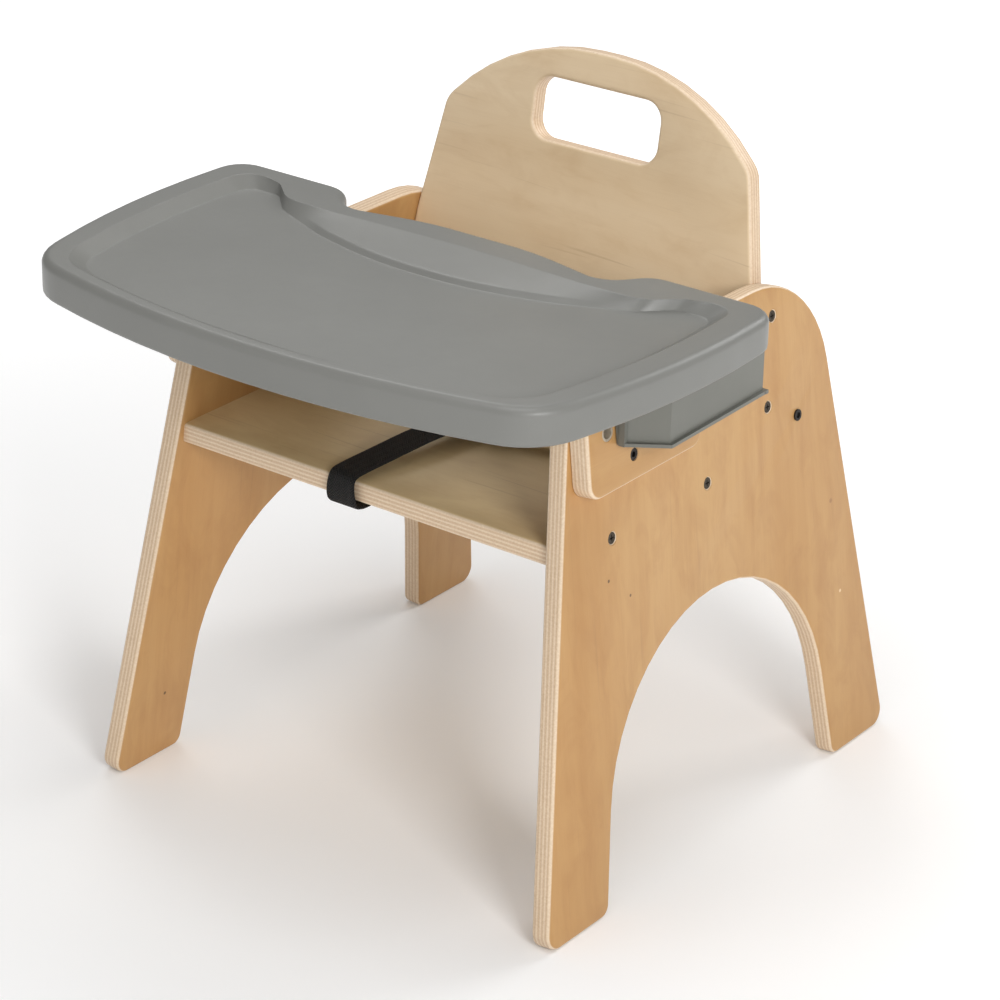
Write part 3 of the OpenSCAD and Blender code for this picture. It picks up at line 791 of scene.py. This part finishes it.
def build_tray():
    lo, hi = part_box("tray_shell")
    top = hi[2] / MM
    floor = top - BASIN
    both = lambda keys: keys + [(-x, y) for x, y in reversed(keys[1:-1])]
    keys_out = both([(0, -246.3), (200, -210), (234.6, -97), (226, 20), (134, 18), (109, -3), (0, 8)])
    keys_rim = both([(0, -235.5), (184, -205), (212, -97), (205, -2), (175, -3), (151, -21), (0, -18.3)])
    keys_floor = both([(0, -221.5), (177, -197), (202, -97), (195, -9), (172, -9), (151, -26), (0, -65)])
    counts = [26, 16, 18, 16, 8, 22]
    counts += counts[::-1]
    o = stations(TRAY_OUT, keys_out, counts)
    rim = stations(RIM_IN, keys_rim, counts)
    flo = stations(FLOOR, keys_floor, counts)
    rings = []
    bottom = lambda p: lo[2] / MM + (p[1] - lo[1] / MM) * SKIRT_TILT

    def ring(pts, z):
        rings.append([(p[0], p[1], z(p) if callable(z) else z) for p in pts])

    under = floor - WALL
    # underside of the basin, inner face of the skirt, its edge, outer face, roundover, rim, slope, floor
    fl_in = offset_loop(flo, -1.0)
    ring(offset_loop(flo, 4.0), under)
    ring(fl_in, under)
    in_top = offset_loop(o, WALL + 2.5)
    mix = lambda a, b, t: [(p[0] + (q[0] - p[0]) * t, p[1] + (q[1] - p[1]) * t) for p, q in zip(a, b)]
    ring(mix(fl_in, in_top, 0.12), under + 0.6)
    ring(mix(rim, in_top, 0.25), top - WALL - 0.6)
    ring(mix(rim, in_top, 0.4), top - WALL)
    ring(in_top, top - WALL)
    ring(offset_loop(o, WALL), top - WALL - 2.5)
    ring(offset_loop(o, WALL), lambda p: bottom(p) + 1.0)
    ring(offset_loop(o, WALL - 0.6), lambda p: bottom(p) + 0.2)
    ring(offset_loop(o, WALL / 2), lambda p: bottom(p))
    ring(offset_loop(o, 1.0), lambda p: bottom(p) + 0.25)
    ring(offset_loop(o, 0.25), lambda p: bottom(p) + 1.1)
    ring(offset_loop(o, 0.0), lambda p: bottom(p) + 2.6)
    r = LIP
    ring(o, top - r - 3)
    for i in range(9):
        a = math.pi / 2 * i / 8
        ring(offset_loop(o, r * (1 - math.cos(a))), top - r * (1 - math.sin(a)))
    o_in = offset_loop(o, r + 1.0)
    ring(o_in, top)
    ring(mix(o_in, rim, 0.5), top)
    ring(mix(o_in, rim, 0.95), top)
    for t in (0.0, 0.04, 0.12, 0.3, 0.55, 0.74, 0.785, 0.815, 0.86, 0.94, 0.985, 1.0):
        rings.append([slope_point(a, b, t, top) for a, b in zip(rim, flo)])
    ring(offset_loop(flo, 1.5), floor)
    ring(offset_loop(flo, 5.0), floor)
    bm = bmesh.new()
    vs = [[bm.verts.new(Vector(p) * MM) for p in rg] for rg in rings]
    skin(bm, vs)
    for cap in (vs[0][::-1], vs[-1]):
        bmesh.ops.triangulate(bm, faces=[bm.faces.new(cap)])
    bmesh.ops.recalc_face_normals(bm, faces=bm.faces)
    me = cut(from_bmesh(bm, "tray"), [notch(s) for s in (-1, 1)])
    smooth_by_angle(me, 50)
    new_object("tray_body", me, "tray", "tray_shell", M_TRAY)


build_tray()

# ---------------------------------------------------------------- webbing
def ribbon(name, path, frames, width, t, body, node, nw=14):
    """A woven strap along path: frames gives (across, up) at each point; soft rounded selvedges."""
    prof = []
    for i in range(nw + 1):
        x = -width / 2 + width * i / nw
        e = min(1.0, (width / 2 - abs(x)) / (t * 0.7))
        prof.append((x, t / 2 * math.sqrt(max(0.0, 1 - (1 - e) ** 2)) * 0.96 + t * 0.02))
    section = prof + [(x, -h) for x, h in reversed(prof)]
    rings, along, dist = [], [], 0.0
    for i, p in enumerate(path):
        if i:
            dist += (p - path[i - 1]).length
        a, up = frames[i]
        rings.append([p + a * x + up * h for x, h in section])
        along.append(dist)
    me = solid(rings, name)
    at = me.attributes.new("strap", "FLOAT_VECTOR", "POINT")
    flat = []
    for y in along:
        for x, h in section:
            flat.extend((x, y, h))
    at.data.foreach_set("vector", flat)
    smooth_by_angle(me, 60)
    new_object(name, me, body, node, M_WEB)


def smooth_path(points, n):
    """Catmull-Rom curve through points."""
    out = []
    for i in range(len(points) - 1):
        a, b, c, d = (Vector(points[max(i - 1, 0)]), Vector(points[i]), Vector(points[i + 1]),
                      Vector(points[min(i + 2, len(points) - 1)]))
        for j in range(n + (i == len(points) - 2)):
            t = j / n
            out.append((2 * b + (c - a) * t + (2 * a - 5 * b + 4 * c - d) * t * t
                        + (3 * b - a - 3 * c + d) * t * t * t) / 2)
    return out


def heading(path, i):
    """Direction of the path at its point i."""
    return (path[min(i + 1, len(path) - 1)] - path[max(i - 1, 0)]).normalized()


WEB_W, WEB_T = 25.4 * MM, 1.5 * MM


def crotch():
    prof = [(72, -15.95), (56, -15.95), (44, -16.6), (26, -19.8), (8, -21.2), (-1.5, -18.6), (-4.2, -12),
            (-3.9, -3.4), (-0.6, 3), (9, 5.2), (30, 7.5), (70, 11.5), (100, 12), (124, 11.4)]
    veer, seat_mm = math.radians(9.8), SEAT_Z / MM
    turned = lambda z: veer * max(0.0, min(1.0, (z + 12) / 14))
    pts = []
    for y, z in prof:
        k = turned(z)
        pts.append(Vector((-13 + y * math.sin(k), -125.9 + y * math.cos(k), seat_mm + z)) * MM)
    path, frames = smooth_path(pts, 10), []
    for i, p in enumerate(path):
        d = heading(path, i)
        k = turned(p.z / MM - seat_mm)
        across = Vector((math.cos(k), -math.sin(k), 0))
        across = (across - d * across.dot(d)).normalized()
        frames.append((across, across.cross(d).normalized()))
    ribbon("webbing_crotch", path, frames, WEB_W, WEB_T, "chair", "crotch_strap")


crotch()


def waist():
    prof = [(36, 0), (56, 0.4), (84, 12), (106, 44), (117, 84), (121, 112), (127, 132), (140, 141),
            (149, 141)]
    for name, s in (("right_waist_strap", 1), ("left_waist_strap", -1)):
        path = smooth_path([Vector((s * x, y, 272 + 12.7)) * MM for x, y in prof], 8)
        fr = []
        up = Vector((0, 0, 1))
        for i in range(len(path)):
            fr.append((up, up.cross(heading(path, i)).normalized()))
        ribbon("webbing_" + name, path, fr, WEB_W, WEB_T, "chair", name)


waist()

# ---------------------------------------------------------------- hardware and mouldings
# node, piece, edge radius in mm, segments round it, body, slot, material; {} is the side
SIDED = (
    ("{}_latch_housing", "moulding_{}_housing", 0.7, 3, "tray", "housing_plastic", M_HOUSE),
    ("{}_latch_paddle", "moulding_{}_paddle", 0.5, 2, "{}_latch", "black_plastic", M_BLACK),
    ("{}_latch_pin", "steel_{}_pin", 0.2, 2, "{}_latch", "bright_steel", M_BRIGHT),
    ("{}_latch_clip", "steel_{}_clip", 0.12, 1, "{}_latch", "zinc_steel", M_ZINC),
    ("{}_rail_screws", "steel_{}_rail_screws", 0.25, 2, "chair", "black_steel", M_DARK),
    ("{}_buckle_tongue", "moulding_{}_tongue", 0.5, 2, "chair", "black_plastic", M_BLACK),
    ("{}_belt_anchor", "steel_{}_anchor", 0.3, 2, "chair", "zinc_steel", M_ZINC),
)
SINGLE = (
    ("rail_inserts", "steel_inserts", 0.3, 2, "chair", "bright_steel", M_INSERT),
    ("seat_screws", "steel_seat_screws", 0.12, 1, "chair", "zinc_steel", M_SCREW),
    ("backrest_screws", "steel_back_screws", 0.12, 1, "chair", "zinc_steel", M_SCREW),
    ("housing_screws", "steel_housing_screws", 0.2, 1, "tray", "zinc_steel", M_ZINC),
    ("crotch_strap_screw", "steel_strap_screw", 0.3, 2, "chair", "zinc_steel", M_ZINC),
    ("crotch_strap_washer", "steel_strap_washer", 0.15, 1, "chair", "zinc_steel", M_ZINC),
    ("belt_anchor_bolts", "steel_anchor_bolts", 0.4, 2, "chair", "black_steel", M_DARK),
    ("belt_anchor_nuts", "steel_anchor_nuts", 0.3, 1, "chair", "zinc_steel", M_ZINC),
    ("buckle_front", "moulding_buckle_front", 1.2, 3, "chair", "black_plastic", M_BLACK),
    ("buckle_back", "moulding_buckle_back", 1.2, 3, "chair", "black_plastic", M_BLACK),
    ("buckle_button", "moulding_button", 0.8, 3, "button", "red_plastic", M_RED),
)
for side in ("left", "right"):
    for node, name, bevel, seg, body, slot, material in SIDED:
        polish(node.format(side), name.format(side), bevel, seg, body.format(side), slot, material)
for row in SINGLE:
    polish(*row)


def spring(side, sign):
    m = side_axes(sign)
    lo, hi = 21.9 * MM + 0.0004, 28.5 * MM - 0.0004
    u, v, r, wire = -18 * MM, 352 * MM, 4.95 * MM, 0.40 * MM
    turns, per = 4.5, 22
    around = [2 * math.pi * j / 8 for j in range(8)]
    along = Vector((0, 0, 1))
    rings = []
    for i in range(int(turns * per) + 1):
        a = 2 * math.pi * i / per
        w = lo + wire + (hi - lo - 2 * wire) * i / (turns * per)
        c = Vector((u + r * math.cos(a), v + r * math.sin(a), w))
        out = Vector((math.cos(a), math.sin(a), 0))
        rings.append([m @ (c + out * wire * math.cos(b) + along * wire * math.sin(b)) for b in around])
    me = solid(rings, "spring")
    smooth_by_angle(me, 60)
    o = new_object(f"steel_{side}_spring", me, "tray", f"{side}_latch_spring", M_BRIGHT)
    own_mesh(o)


spring("right", 1)
spring("left", -1)

# ---------------------------------------------------------------- floor, lights, camera
def floor():
    bm = bmesh.new()
    bmesh.ops.create_grid(bm, x_segments=1, y_segments=1, size=6.0)
    me = from_bmesh(bm, "floor")
    o = bpy.data.objects.new("floor", me)
    scene.collection.objects.link(o)
    k = Mat("floor_white")
    n = k.noise(k.scale(k.position(), 2.0), 1.0, 2.0)
    c = k.mix(n, (0.87, 0.87, 0.87), (0.90, 0.90, 0.90))
    far = k.node("ShaderNodeVectorMath", operation="LENGTH")
    k.put(far.inputs[0], k.position())       # the floor brightens away from the chair
    glow = k.ramp(k.math("DIVIDE", far.outputs["Value"], 4.0), [(0.06, 0.06), (0.36, 0.55)])
    k.put(k.bsdf.inputs["Emission Strength"], glow)
    me.materials.append(k.shader(c, 0.9, Specular_IOR_Level=0.1, Emission_Color=(1, 1, 1, 1)))
    o.location.z = -0.6 * MM
    o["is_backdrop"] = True


floor()


def area(name, loc, target, size, power):
    d = bpy.data.lights.new(name, "AREA")
    d.shape, d.size, d.energy = "SQUARE", size, power
    o = bpy.data.objects.new(name, d)
    scene.collection.objects.link(o)
    o.location = loc
    o.rotation_euler = (Vector(target) - Vector(loc)).to_track_quat("-Z", "Y").to_euler()


area("key", (2.3, -1.4, 1.45), (0, -0.05, 0.28), 0.9, 42)
area("fill", (-1.6, -2.4, 1.6), (0, 0, 0.25), 1.6, 3)
area("top", (0.2, -0.6, 2.5), (0, 0, 0.3), 1.3, 21)
area("rear", (0.5, 1.75, 1.65), (0, -0.05, 0.35), 1.0, 14)
area("left", (-1.15, 1.0, 2.0), (0, -0.1, 0.35), 1.0, 9)
world = bpy.data.worlds.new("studio")
world.use_nodes = True
scene.world = world
bg = world.node_tree.nodes["Background"]
bg.inputs[0].default_value = (1, 1, 1, 1)
bg.inputs[1].default_value = 0.26

az, el, roll = math.radians(36.539), math.radians(24.836), math.radians(1.144)
back = Vector((math.sin(az) * math.cos(el), -math.cos(az) * math.cos(el), math.sin(el)))
right = Vector((math.cos(az), math.sin(az), 0))
up = back.cross(right)
img_right = right * math.cos(roll) + up * math.sin(roll)
img_up = up * math.cos(roll) - right * math.sin(roll)
cam_data = bpy.data.cameras.new("camera")
cam_data.sensor_width = 36
cam_data.sensor_fit = "HORIZONTAL"
cam_data.lens = 125.79
cam_data.shift_x, cam_data.shift_y = -0.00118, 0.00066
cam_data.clip_start, cam_data.clip_end = 0.1, 50
cam = bpy.data.objects.new("camera", cam_data)
scene.collection.objects.link(cam)
mat = Matrix((img_right, img_up, back)).transposed().to_4x4()
mat.translation = Vector((1345.75, -1782.42, 1245.36)) * MM
cam.matrix_world = mat
scene.camera = cam
scene.view_settings.view_transform = "Standard"
scene.view_settings.exposure = 0.0

as_lists = lambda b: [[round(float(x), 6) for x in p] for p in b]
{"cad": as_lists(cad_box), "visual": as_lists(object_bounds())}
